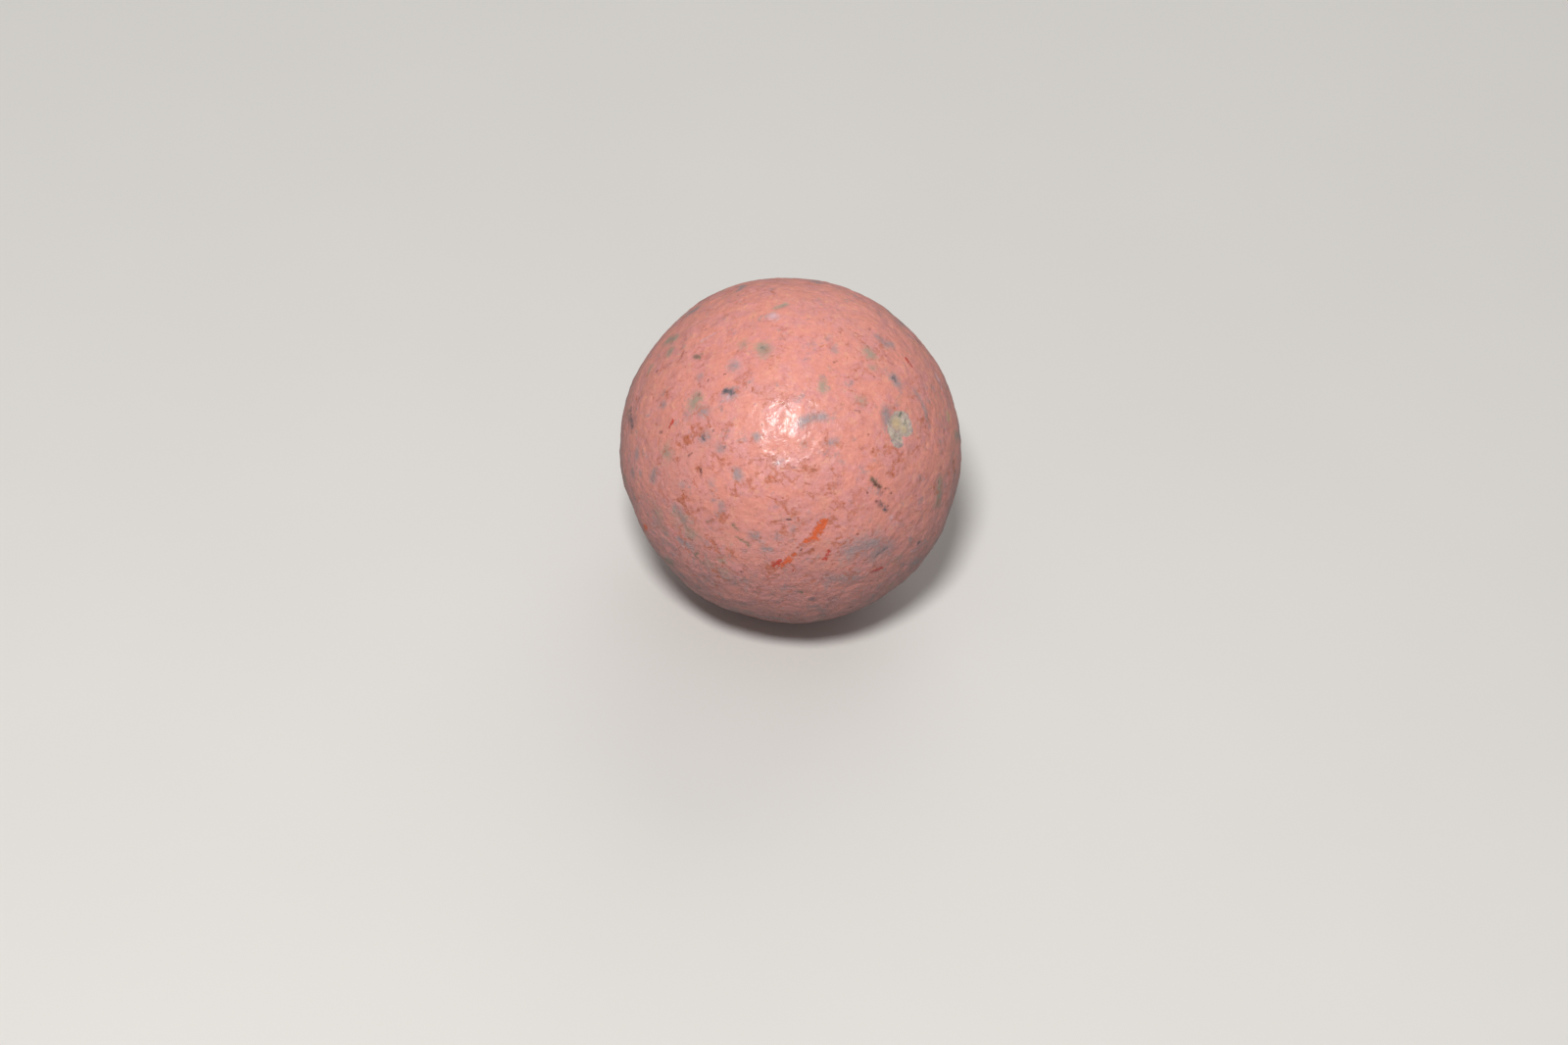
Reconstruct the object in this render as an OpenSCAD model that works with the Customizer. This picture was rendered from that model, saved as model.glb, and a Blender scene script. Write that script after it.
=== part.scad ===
// Clay marble: one solid ball of fired clay, rolled by hand and painted.
// The ball's centre is the origin and +Z is up. The side at -Y is the front.
// A place on the ball is given as a bearing, in degrees round from the front
// towards +X, and a height, in degrees above the equator.

/* [Ball] */
// Mean diameter of the ball
ball_d = 15.9; // [12:0.1:20]
// How much the longest diameter exceeds the shortest
out_of_round = 0.28; // [0:0.02:0.5]
// Height of the slow waves that rolling between the palms left
rolling_wave = 0.035; // [0:0.005:0.08]

/* [Flats] */
// Depth to which the firmest flat was pressed while the clay was soft
flat_depth = 0.12; // [0.02:0.01:0.3]
// Width over which a flat blends into the round
flat_blend = 0.03; // [0.01:0.005:0.08]

/* [Dimples] */
// Number of shallow dimples all over the ball
dimple_count = 90; // [0:10:140]
// Width of the widest dimple
dimple_w = 2.4; // [1:0.1:3]
// Depth of the deepest dimple
dimple_depth = 0.07; // [0:0.01:0.15]
// Seed of the dimples' places
dimple_seed = 7; // [1:1:50]

/* [Grit scar] */
// Bearing of the scar where a lump of pale grit breaks the surface
scar_bearing = 53; // [-180:1:180]
// Height of the scar's centre
scar_height = 42; // [-80:1:80]
// Height of the scar, from top to bottom
scar_h = 1.8; // [1:0.1:3]
// Width of the scar, from side to side
scar_w = 1.7; // [1:0.1:3]
// Depth of the scar below the paint
scar_depth = 0.09; // [0:0.01:0.2]
// How far the lump of grit stands up again inside the scar
grit_rise = 0.05; // [0:0.01:0.1]

/* [Mesh] */
// Cells along one edge of the cube that is swelled into the ball
cells = 30; // [16:2:30]

/* [Hidden] */

ball_r = ball_d / 2;
clay_pink = [0.87, 0.6, 0.56];

// Flats: bearing, height and share of the full flat depth.
flats = [
    [157, 46, 0.6], [80, -11, 0.9], [-68, -22, 0.9], [-53, -33, 0.7],
    [-20, 8, 0.4], [-78, 66, 0.4], [97, 6, 0.5], [-142, 10, 0.9],
    [178, -38, 0.7], [-112, -50, 0.8]
];

// Waves: bearing, height, half-waves across the ball and phase in degrees.
waves = [
    [20, 50, 5, 40], [-75, 15, 7, 200], [110, -20, 6, 310], [-160, 60, 9, 95]
];

function unit(v) = v / norm(v);

// Direction of a place on the ball.
function place(bearing, height) = [
    cos(height) * sin(bearing),
    -cos(height) * cos(bearing),
    sin(height)
];

function smooth(t) = let (s = min(max(t, 0), 1)) s * s * (3 - 2 * s);

function total(list, i = 0) = i >= len(list) ? 0 : list[i] + total(list, i + 1);

// The least of a list, with its corners blended over a width.
function blended_least(list, width) =
    let (least = min(list))
    least - width * ln(total([for (v = list) exp((least - v) / width)]));

// Distance from the centre to a flat's plane, along u.
function to_flat(u, flat) =
    let (facing = u * place(flat[0], flat[1]))
    (ball_r - flat_depth * flat[2]) / max(facing, 0.5);

// The longest diameter runs through this place, and the shortest lies across it.
long_axis = place(-134, 37);
function oval(u) = out_of_round / 2 * (pow(u * long_axis, 2) - 1 / 3);

function wave(u, w) = rolling_wave / 2 * sin(90 * w[2] * (u * place(w[0], w[1])) + w[3]);

// Dimples: each has a direction, a half-width and a depth. The golden angle
// spreads them evenly and the random shifts take the order away.
golden_angle = 180 * (3 - sqrt(5));
shifts = rands(-1, 1, 4 * max(dimple_count, 1), dimple_seed);
dimples = [
    for (i = [0 : 1 : dimple_count - 1])
        let (
            z = 1 - (2 * i + 1) / dimple_count,
            turn = golden_angle * i + 25 * shifts[4 * i],
            height = asin(z) + 6 * shifts[4 * i + 1],
            share = 0.5 + 0.25 * (1 + shifts[4 * i + 2])
        )
        [place(turn, height), share * dimple_w / 2, dimple_depth * (0.6 + 0.4 * shifts[4 * i + 3])]
];

function dimple(u, d) =
    let (away = norm(u - d[0]) * ball_r)
    away >= d[1] ? 0 : d[2] * smooth(1 - away / d[1]);

// The scar is an oval hollow with a lumpy rise of grit in it.
scar_at = place(scar_bearing, scar_height);
scar_up = unit([0, 0, 1] - scar_at[2] * scar_at);
scar_side = cross(scar_up, scar_at);
scar_wall = 0.35;
function scar(u) =
    let (
        along = (u * scar_up) * ball_r / (scar_h / 2),
        across = (u * scar_side) * ball_r / (scar_w / 2),
        away = norm([along, across])
    )
    u * scar_at < 0 ? 0
        : scar_depth * smooth((1 - away) / scar_wall)
            - grit_rise * smooth(1.1 - 1.5 * away);

function radius(u) =
    blended_least(concat([ball_r], [for (f = flats) to_flat(u, f)]), flat_blend)
        + oval(u)
        + total([for (w = waves) wave(u, w)])
        - total([for (d = dimples) dimple(u, d)])
        - scar(u);

// The ball's skin is a cube's surface, cell by cell, swelled to the radius.
// Rings of points run round the cube's four sides from the bottom level to
// the top one, and two square caps close it.
ring = 4 * cells;
function step(i) = tan(90 * i / cells - 45);
function rim(i) =
    i < cells ? [step(i), -1]
    : i < 2 * cells ? [1, step(i - cells)]
    : i < 3 * cells ? [step(3 * cells - i), 1]
    : [-1, step(4 * cells - i)];

function swelled(v) = let (u = unit(v)) radius(u) * u;

side_points = [
    for (k = [0 : cells], i = [0 : ring - 1]) swelled([rim(i)[0], rim(i)[1], step(k)])
];
function cap_points(z) = [
    for (i = [1 : cells - 1], j = [1 : cells - 1]) swelled([step(i), step(j), z])
];

inner = cells - 1;
function on_rim(i, j) =
    j == 0 ? i : i == cells ? cells + j : j == cells ? 3 * cells - i : (4 * cells - j) % ring;
function cap_index(i, j, level, first) =
    i == 0 || j == 0 || i == cells || j == cells
        ? level * ring + on_rim(i, j)
        : first + (i - 1) * inner + (j - 1);

function halves(a, b, c, d) = [[a, b, c], [a, c, d]];

side_faces = [
    for (k = [0 : cells - 1], i = [0 : ring - 1])
        let (next = (i + 1) % ring, low = k * ring, high = low + ring)
        each halves(low + i, high + i, high + next, low + next)
];
function cap_faces(level, first, up) = [
    for (i = [0 : cells - 1], j = [0 : cells - 1])
        let (
            a = cap_index(i, j, level, first),
            b = cap_index(i + 1, j, level, first),
            c = cap_index(i + 1, j + 1, level, first),
            d = cap_index(i, j + 1, level, first)
        )
        each up ? halves(a, d, c, b) : halves(a, b, c, d)
];

bottom_first = (cells + 1) * ring;
top_first = bottom_first + inner * inner;

module marble() {
    color(clay_pink)
        polyhedron(
            points = concat(side_points, cap_points(-1), cap_points(1)),
            faces = concat(
                side_faces,
                cap_faces(0, bottom_first, false),
                cap_faces(cells, top_first, true)
            ),
            convexity = 2
        );
}

marble();
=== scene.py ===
"""Clay marble: a hand-rolled ball of fired clay with worn pink paint under a thin varnish."""
import math
import random

import bmesh
import bpy
import numpy as np
from mathutils import Matrix, Vector


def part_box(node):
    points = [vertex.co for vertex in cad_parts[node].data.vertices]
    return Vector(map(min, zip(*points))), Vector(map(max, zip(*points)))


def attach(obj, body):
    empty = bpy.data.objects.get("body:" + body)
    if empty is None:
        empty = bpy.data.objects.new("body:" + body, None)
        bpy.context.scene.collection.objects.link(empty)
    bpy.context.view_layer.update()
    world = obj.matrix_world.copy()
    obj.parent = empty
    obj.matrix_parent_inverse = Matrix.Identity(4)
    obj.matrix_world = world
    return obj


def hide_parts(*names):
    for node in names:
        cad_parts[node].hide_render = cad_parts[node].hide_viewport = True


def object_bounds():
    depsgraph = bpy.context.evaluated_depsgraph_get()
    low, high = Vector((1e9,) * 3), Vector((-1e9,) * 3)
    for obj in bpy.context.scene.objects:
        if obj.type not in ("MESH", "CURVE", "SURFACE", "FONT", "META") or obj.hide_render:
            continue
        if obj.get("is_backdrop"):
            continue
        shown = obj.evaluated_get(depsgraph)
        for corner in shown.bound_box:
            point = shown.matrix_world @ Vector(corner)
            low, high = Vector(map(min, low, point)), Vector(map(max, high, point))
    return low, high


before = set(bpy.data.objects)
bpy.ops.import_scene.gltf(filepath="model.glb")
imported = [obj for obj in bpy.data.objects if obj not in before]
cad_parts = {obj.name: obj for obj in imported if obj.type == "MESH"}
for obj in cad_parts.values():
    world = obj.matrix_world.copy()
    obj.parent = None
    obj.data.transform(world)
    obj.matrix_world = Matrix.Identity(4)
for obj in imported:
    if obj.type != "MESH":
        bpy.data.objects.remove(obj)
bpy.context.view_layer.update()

bl_info = {
    "name": "Clay Marble",
    "version": (1, 0, 0),
    "blender": (4, 5, 0),
    "location": "3D View > Sidebar > Marble",
    "description": "Dresses the packed ball as a painted clay marble",
    "category": "Add Mesh",
}

CORE_NODE = "marble"
BODY = "root"
SLOT = "painted_clay"
PIECE = "painted_clay_ball"
BAKE_MAP = "OFBake"

LOW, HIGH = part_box(CORE_NODE)
BALL_R = (HIGH - LOW).length / 2 / math.sqrt(3)
MM = 0.001
SENSOR = 36.0


# ---------------------------------------------------------------- sizes and colours

def linear(red, green, blue):
    """The linear colour of a paint that is named by its 0 to 255 display values."""
    def channel(value):
        c = value / 255
        return c / 12.92 if c <= 0.04045 else ((c + 0.055) / 1.055) ** 2.4
    return channel(red), channel(green), channel(blue)


def length(name, description, default):
    return bpy.props.FloatProperty(
        name=name, description=description, default=default, min=0.0, unit="LENGTH", precision=6
    )


def number(name, description, default, low=0.0, high=1.0):
    return bpy.props.FloatProperty(
        name=name, description=description, default=default, min=low, max=high
    )


def whole(name, description, default, low=0, high=1000):
    return bpy.props.IntProperty(
        name=name, description=description, default=default, min=low, max=high
    )


def tint(name, description, default):
    return bpy.props.FloatVectorProperty(
        name=name, description=description, default=default, subtype="COLOR", min=0.0, max=1.0
    )


class MarbleClay(bpy.types.PropertyGroup):
    """The ball's skin and its relief."""

    cells: whole("Cells", "Cells along one edge of the cube that is swelled into the ball", 128, 8, 128)
    facet_blur: whole("Facet blur", "Passes that round off the core's flat faces", 9, 0, 40)
    swell_size: length("Swell size", "Width of the slow swells in the skin", 1.1 * MM)
    swell_depth: length("Swell depth", "Height of the slow swells", 0.055 * MM)
    ripple_size: length("Ripple size", "Width of the ripples in the skin", 0.46 * MM)
    ripple_depth: length("Ripple depth", "Height of the ripples", 0.034 * MM)
    pit_spacing: length("Pit spacing", "Usual distance between pinholes", 1.25 * MM)
    pit_width: length("Pit width", "Radius of the widest pinhole", 0.16 * MM)
    pit_depth: length("Pit depth", "Depth of a pinhole", 0.045 * MM)
    scar_bearing: number("Scar bearing", "Degrees round from the front to the scar", 53, -180, 180)
    scar_height: number("Scar height", "Degrees above the equator to the scar", 42, -90, 90)
    scar_tall: length("Scar tall", "Height of the scar of pale grit", 1.75 * MM)
    scar_wide: length("Scar wide", "Width of the scar of pale grit", 1.45 * MM)
    grain_size: length("Grain size", "Width of the grains in the scar", 0.30 * MM)
    grain_height: length("Grain height", "How far the grains stand up", 0.05 * MM)
    seed: whole("Seed", "Seed of all the chance marks", 11)


class MarblePaint(bpy.types.PropertyGroup):
    """The colours of the paint and of what shows through it, and the varnish."""

    coral: tint("Coral", "Main coat of paint", linear(240, 155, 138))
    rose: tint("Rose", "Cooler part of the coat", linear(232, 154, 149))
    peach: tint("Peach", "Thin coat with clay behind it", linear(236, 166, 138))
    # Mauve is laid more the lower a place is on the ball, which makes the ball greyer and darker towards
    # the bottom.
    mauve: tint("Mauve", "Greyed coat on the lower half", linear(210, 148, 146))
    bloom: tint("Bloom", "Soft lavender grey spots", linear(172, 147, 147))
    moss: tint("Moss", "Soft green grey smears", linear(170, 152, 134))
    # Milk is also laid as a painted highlight on the wrinkles' backs and, in one stroke, as a painted
    # glint.
    milk: tint("Milk", "Pale lavender scuffs", linear(226, 184, 190))
    slate: tint("Slate", "Dark blue grey spots", linear(92, 88, 94))
    olive: tint("Olive", "Dark green grey spots", linear(128, 116, 92))
    vein: tint("Vein", "Orange brown clay where the paint is thin", linear(206, 116, 84))
    rust: tint("Rust", "Brown clay in pores and worn places", linear(170, 94, 66))
    umber: tint("Umber", "Dark specks", linear(92, 50, 46))
    orange: tint("Orange", "Bright orange streaks", linear(236, 106, 56))
    scarlet: tint("Scarlet", "Red core of streaks and scratches", linear(208, 62, 42))
    grit: tint("Grit", "Pale grains in the scar", linear(210, 194, 174))
    straw: tint("Straw", "Yellow grains in the scar", linear(216, 186, 140))
    # The gap colour is painted shade in the gaps between the grains of the scar.
    crevice: tint("Crevice", "Dark gaps between the grains", linear(120, 122, 108))
    brush_depth: length("Brush depth", "Height of the fine ripples and wrinkles of the paint", 0.04 * MM)
    varnish: number("Varnish", "How full the coat of varnish is on the paint", 0.45)
    grit_varnish: number("Grit varnish", "How full the coat of varnish is on the pale grit", 0.05)
    varnish_rough: number("Varnish roughness", "How soft a lamp shows in the varnish", 0.26)
    curl_depth: length("Curl depth", "Height of the curls in the varnish", 0.03 * MM)


class MarbleStage(bpy.types.PropertyGroup):
    """Floor, lamps and camera."""

    floor_colour: tint("Floor", "Pale colour of the floor as the camera sees it", linear(226, 223, 218))
    floor_bounce: tint("Floor bounce", "Colour of the floor as it lights the ball", (0.30, 0.29, 0.28))
    wall_colour: tint("Wall", "Pale colour behind the floor", linear(212, 210, 206))
    floor_width: length("Floor width", "Side of the square floor", 3.0)
    key_level: number("Key level", "How bright the key lamp makes a white surface", 0.78, 0, 4)
    key_spread: number("Key spread", "Half angle of the key lamp seen from the ball", 5.0, 0, 60)
    key_bearing: number("Key bearing", "Degrees round from the front to the key lamp", -9, -180, 180)
    key_height: number("Key height", "Degrees above the floor to the key lamp", 57, -90, 90)
    fill_level: number("Fill level", "How bright the lamp behind makes a white surface", 0.25, 0, 4)
    fill_spread: number("Fill spread", "Half angle of the lamp behind seen from the ball", 25, 0, 60)
    fill_bearing: number("Fill bearing", "Degrees round from the front to the lamp behind", 170, -180, 180)
    fill_height: number("Fill height", "Degrees above the floor to the lamp behind", 30, -90, 90)
    air_level: number("Air level", "How bright the even light from all round is", 0.22, 0, 4)
    lamp_reach: length("Lamp reach", "Distance from the ball to each lamp", 0.25)
    camera_height: number("Camera height", "Degrees above the floor to the camera", 42, -90, 90)
    camera_roll: number("Camera roll", "Degrees that the camera is rolled", 6, -45, 45)
    lens: number("Lens", "Focal length in millimetres", 100, 10, 300)
    ball_share: number("Ball share", "Share of the image's width that the ball takes", 0.2188, 0.05, 0.6)
    shift_x: number("Shift across", "Sideways shift of the lens", -0.0041, -1, 1)
    shift_y: number("Shift up", "Upward shift of the lens", -0.0461, -1, 1)


# ---------------------------------------------------------------- marks on the ball

def place(bearing, height):
    """Direction of a place on the ball, in degrees from the front and above the equator."""
    b, h = math.radians(bearing), math.radians(height)
    return Vector((math.cos(h) * math.sin(b), -math.cos(h) * math.cos(b), math.sin(h)))


# Each stroke of a finish is a width in millimetres, a strength, and the places
# (bearing, height) that the stroke runs through.
STROKES = {
    "bloom": [
        (0.60, 0.9, (-50, 61)),
        (0.64, 1.0, (-39, 53)),
        (0.45, 0.7, (-61, 50)),
        (0.55, 0.8, (-46, 43), (-44, 44)),
        (0.50, 0.7, (-51, 39)),
        (0.45, 0.8, (-65, 34)),
        (0.62, 0.9, (-38, 37)),
        (0.55, 0.8, (-30, 36)),
        (0.40, 0.9, (-16, 44)),
        (0.50, 0.9, (-20, 31), (-19, 30)),
        (0.45, 0.5, (-4, 38)),
        (0.42, 1.0, (4, 51), (9, 53), (16, 53)),
        (0.45, 0.6, (6, 44)),
        (0.42, 0.7, (17, 44), (21, 45)),
        (0.45, 0.6, (22, 38)),
        (0.50, 0.6, (47, 75)),
        (0.50, 0.8, (95, 64), (92, 62), (95, 59)),
        (0.36, 0.7, (76, 46), (75, 43), (72, 38), (70, 34)),
        (0.60, 1.0, (51, 48), (49, 45)),
        (0.45, 0.6, (88, 38)),
        (0.50, 0.9, (70, 55), (69, 52)),
        (0.55, 1.0, (-9, 11)),
        (0.32, 0.9, (-6, 7), (-3, 7)),
        (0.50, 0.8, (-39, 9), (-35, 6)),
        (0.45, 0.7, (-38, 18)),
        (0.45, 0.7, (-28, 24)),
        (0.45, 0.9, (-52, 15), (-52, 12)),
        (0.55, 0.9, (-64, 13)),
        (0.50, 0.9, (-63, 6)),
        (1.20, 0.8, (24, 6), (32, 7)),
        (1.00, 0.8, (33, 2), (37, 3)),
        (0.90, 0.7, (18, -6), (26, -7)),
        (0.36, 0.9, (-36, -3), (-31, -4)),
    ],
    "moss": [
        (0.52, 1.0, (-99, 39), (-97, 43)),
        (0.50, 0.9, (-89, 42)),
        (0.30, 0.7, (-89, 33), (-86, 31)),
        (0.75, 1.0, (-43, 72)),
        (0.35, 0.8, (-120, 79), (-138, 80)),
        (0.55, 0.7, (-61, 68)),
        (0.55, 0.8, (75, 67), (72, 65)),
        (0.45, 0.8, (64, 62)),
        (0.42, 0.8, (20, 65), (18, 62)),
        (0.60, 0.9, (-53, 45), (-52, 43)),
        (0.90, 0.7, (-50, 24)),
        (0.55, 0.7, (41, 55)),
        (0.55, 0.9, (65, 15), (62, 7)),
        (0.60, 0.7, (-19, -3)),
        (0.90, 0.6, (-37, 6), (-31, 2)),
        (0.80, 0.5, (-48, 3), (-44, -3)),
        (0.80, 0.5, (-24, -6), (-17, -9)),
        (0.50, 0.7, (43, -5)),
    ],
    "milk": [
        (0.50, 0.9, (-93, 80)),
        (0.45, 0.6, (118, 43)),
        (0.26, 0.8, (-39, 52), (-38, 51)),
        (0.35, 0.7, (39, 14)),
        # A painted glint on a blister, low on the right side.
        (0.15, 1.0, (49, -5), (53, -6), (56, -5)),
        (0.12, 0.8, (-84, 55), (-86, 60)),
    ],
    "slate": [
        (0.16, 1.0, (-43, 52)),
        (0.28, 1.0, (-42, 53), (-40, 54), (-38, 54)),
        (0.26, 1.0, (-39, 37), (-38, 36)),
        (0.16, 0.9, (-28, 37)),
        (0.55, 0.9, (-80, 18), (-74, 17)),
        (0.30, 0.6, (-86, 77)),
        (0.20, 0.8, (-44, 72), (-41, 72)),
        (0.22, 0.8, (70, 55), (69, 54)),
        (0.20, 0.7, (39, 25)),
        (0.30, 0.9, (35, 21), (37, 18)),
        (0.28, 0.7, (33, 1), (37, 3)),
        (0.28, 1.0, (52, -3)),
        (0.45, 0.9, (13, -16)),
        (0.18, 0.7, (-70, 35)),
    ],
    "olive": [
        (0.36, 1.0, (-75, 52), (-73, 53)),
        (0.30, 0.9, (33, 30), (36, 27)),
        (0.28, 0.8, (-25, 11), (-26, 10)),
        (0.20, 0.85, (-17, 13), (-14, 11)),
        (0.20, 0.85, (-15, 9), (-13, 8), (-10, 7)),
        (0.30, 0.8, (-28, -4), (-29, -6), (-26, -8)),
        (0.42, 0.9, (9, -12)),
        (0.20, 0.6, (28, 56)),
        (0.28, 0.7, (-43, -3)),
    ],
    "rust": [
        (0.24, 0.9, (-36, 79)),
        (0.14, 1.0, (-18, 54), (-16, 56)),
        (0.42, 0.9, (-6, 33)),
        (0.55, 0.6, (-25, 69)),
        (0.30, 0.7, (-57, 67)),
        (0.28, 1.0, (-68, 37), (-66, 37)),
        (0.32, 0.5, (-47, 32), (-43, 33)),
        (0.34, 1.0, (-35, 27)),
        (0.40, 0.7, (-26, 33)),
        (0.20, 0.8, (-13, 35), (-12, 32)),
        (0.28, 0.9, (7, 36), (9, 36), (12, 36)),
        (0.16, 0.8, (6, 66), (9, 65), (9, 62)),
        (0.36, 0.9, (32, 41)),
        (0.30, 0.8, (36, 40), (37, 38)),
        (0.30, 0.8, (29, 44), (23, 43)),
        (0.26, 0.8, (33, 34), (37, 33)),
        (0.30, 0.7, (72, 34)),
        (0.30, 0.6, (29, 26)),
        (0.22, 0.8, (-6, 25)),
        (0.30, 0.7, (-16, 28), (-14, 29)),
        (0.24, 0.9, (-22, 15), (-21, 13)),
        (0.70, 0.35, (-38, 13), (-32, 11)),
        (0.28, 0.9, (-17, 3), (-15, 1)),
        (0.28, 0.7, (-26, 4), (-24, 3)),
        (0.40, 0.7, (-4, -1)),
        (0.30, 0.6, (-14, -6)),
        (0.26, 0.8, (35, -6)),
    ],
    "umber": [
        (0.13, 0.9, (-50, 57)),
        (0.12, 0.9, (-81, 49)),
        (0.24, 0.8, (-74, 52)),
        (0.14, 1.0, (-83, 36)),
        (0.13, 0.9, (-57, 28), (-58, 27)),
        (0.13, 0.9, (-49, 32)),
        (0.12, 0.8, (-40, 30), (-41, 28)),
        (0.14, 1.0, (-36, 40)),
        (0.12, 0.9, (-40, 42)),
        (0.14, 1.0, (-34, 27), (-33, 25)),
        (0.14, 0.9, (37, 71), (40, 71)),
        (0.13, 0.8, (35, 53), (37, 52)),
        (0.13, 0.9, (37, 44)),
        (0.13, 1.0, (-8, 16)),
        (0.11, 0.9, (1, 19), (3, 19)),
        (0.14, 0.8, (16, 21)),
        (0.14, 0.9, (26, 12)),
        (0.15, 0.8, (51, 17)),
        (0.17, 1.0, (-12, -5)),
        (0.15, 0.9, (-4, -6)),
        (0.11, 0.8, (1, 37), (4, 36)),
        (0.24, 0.75, (33, 30), (34, 28)),
        (0.24, 0.8, (34, 28), (36, 26)),
        (0.16, 1.0, (38, 25)),
        (0.20, 0.75, (36, 24)),
        (0.14, 1.0, (40, 23)),
        (0.22, 0.75, (34, 22), (35, 20)),
        (0.15, 0.9, (38, 19)),
    ],
    "orange": [
        (0.36, 1.0, (14, 18), (13, 16)),
        (0.28, 1.0, (12, 16), (11, 13)),
        (0.22, 0.9, (11, 13), (12, 12)),
        (0.24, 0.9, (11, 13), (8, 11)),
        (0.38, 1.0, (-1, 1), (1, 2), (3, 4)),
        (0.26, 0.8, (5, 6)),
        (0.24, 0.6, (-6, 33)),
        (0.22, 0.5, (-25, 4)),
    ],
    "scarlet": [
        (0.30, 1.0, (-1, 1), (1, 3)),
        (0.13, 1.0, (-55, 34), (-55, 31)),
        (0.16, 0.9, (91, 53), (88, 50)),
        (0.22, 0.8, (16, 7), (15, 4)),
        (0.13, 0.9, (16, 9)),
        (0.13, 0.9, (-3, -5)),
        (0.13, 0.7, (5, -1)),
        (0.26, 0.8, (33, -6), (36, -6)),
        (0.14, 0.6, (-26, -5)),
    ],
    "grit": [
        (0.62, 1.0, (56, 44), (58, 43)),
        (0.60, 1.0, (58, 41), (57, 39)),
        (1.00, 1.0, (54, 42)),
        (0.60, 1.0, (51, 43), (50, 41)),
        (0.60, 1.0, (52, 40), (50, 38)),
    ],
    "straw": [
        (0.55, 1.0, (54, 43)),
        (0.40, 0.9, (56, 40)),
        (0.50, 1.0, (86, 26)),
    ],
    # Painted shade in the gaps between the grains of the scar.
    "crevice": [
        (0.17, 1.0, (59, 45), (57, 44)),
        (0.15, 0.9, (59, 42), (57, 41)),
        (0.18, 1.0, (52, 38)),
        (0.14, 0.8, (59, 39)),
        (0.14, 0.8, (50, 45)),
    ],
}

# The finishes whose strokes share one attribute of the mesh.
STROKE_LAYERS = {
    "soft_strokes": ("bloom", "moss", "milk"),
    "dark_strokes": ("slate", "olive", "umber"),
    "warm_strokes": ("rust", "orange", "scarlet"),
    "scar_strokes": ("grit", "straw", "crevice"),
}

# How many more strokes of each finish chance lays on the sides that face away,
# with their least and greatest width and length in millimetres.
CHANCE = {
    "bloom": (90, 0.35, 0.75, 0.7),
    "moss": (46, 0.34, 0.6, 0.8),
    "milk": (20, 0.2, 0.45, 0.8),
    "slate": (36, 0.16, 0.36, 0.6),
    "olive": (26, 0.16, 0.3, 0.7),
    "rust": (80, 0.2, 0.42, 0.6),
    "umber": (80, 0.11, 0.16, 0.2),
    "orange": (7, 0.2, 0.32, 1.2),
    "scarlet": (14, 0.12, 0.2, 0.5),
}
SHOWN_SIDE = place(0, 42)
SHOWN_FACING = 0.30


def chance_strokes(finish, seed):
    """Strokes at chance places on the sides that the placed strokes leave bare."""
    count, least, most, run = CHANCE[finish]
    rng = random.Random(f"{finish}{seed}")
    strokes = []
    while len(strokes) < count:
        spot = Vector([rng.gauss(0, 1) for _ in range(3)]).normalized()
        along = Vector([rng.gauss(0, 1) for _ in range(3)]).cross(spot).normalized()
        width = rng.uniform(least, most)
        strength = rng.uniform(0.55, 1.0)
        reach = rng.uniform(0, run) * MM / BALL_R
        bend = spot.cross(along) * rng.uniform(-0.4, 0.4) * reach
        if spot.dot(SHOWN_SIDE) > SHOWN_FACING:
            continue
        path = [spot - along * reach / 2, spot + bend, spot + along * reach / 2]
        strokes.append((width, strength, [p.normalized() for p in path]))
    return strokes


def all_strokes(finish, seed):
    """Placed strokes with their places made directions, and then the chance ones."""
    placed = [(width, strength, [place(*p) for p in path]) for width, strength, *path in STROKES[finish]]
    return placed + (chance_strokes(finish, seed) if finish in CHANCE else [])


def distance_to_path(points, path):
    """Each point's distance to the nearest stretch of a path, all in metres."""
    nearest = np.full(len(points), np.inf)
    ends = [np.array(p) * BALL_R for p in path]
    for a, b in zip(ends, ends[1:] or ends):
        run = b - a
        share = np.clip((points - a) @ run / max(run @ run, 1e-12), 0, 1)
        nearest = np.minimum(nearest, np.linalg.norm(points - a - share[:, None] * run, axis=1))
    return nearest


def stroke_field(directions, finish, seed):
    """A field over the ball that is a stroke's strength at its middle and half that at its edge."""
    field = np.zeros(len(directions))
    points = directions * BALL_R
    for width, strength, path in all_strokes(finish, seed):
        half = width * MM / 2
        middle = np.array(path[len(path) // 2])
        reach = max((p - path[len(path) // 2]).length for p in path) * BALL_R + 2 * half
        near = np.flatnonzero(np.linalg.norm(points - middle * BALL_R, axis=1) < reach)
        away = distance_to_path(points[near], path)
        field[near] = np.maximum(field[near], strength * np.clip(1 - away / (2 * half), 0, 1))
    return field


def store_points(mesh, name, columns):
    """Keeps three values for each point of the mesh."""
    layer = mesh.attributes.new(name, "FLOAT_VECTOR", "POINT")
    layer.data.foreach_set("vector", np.stack(columns, axis=1).astype(np.float32).ravel())


def lay_strokes(mesh, seed):
    """Stores every finish's field on the ball's points, three to an attribute."""
    places = np.empty(len(mesh.vertices) * 3, np.float32)
    mesh.vertices.foreach_get("co", places)
    places = places.reshape(-1, 3).astype(float)
    directions = places / np.linalg.norm(places, axis=1)[:, None]
    fields = {finish: stroke_field(directions, finish, seed) for finish in STROKES}
    for name, finishes in STROKE_LAYERS.items():
        store_points(mesh, name, [fields[finish] for finish in finishes])


# ---------------------------------------------------------------- node wiring

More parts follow.
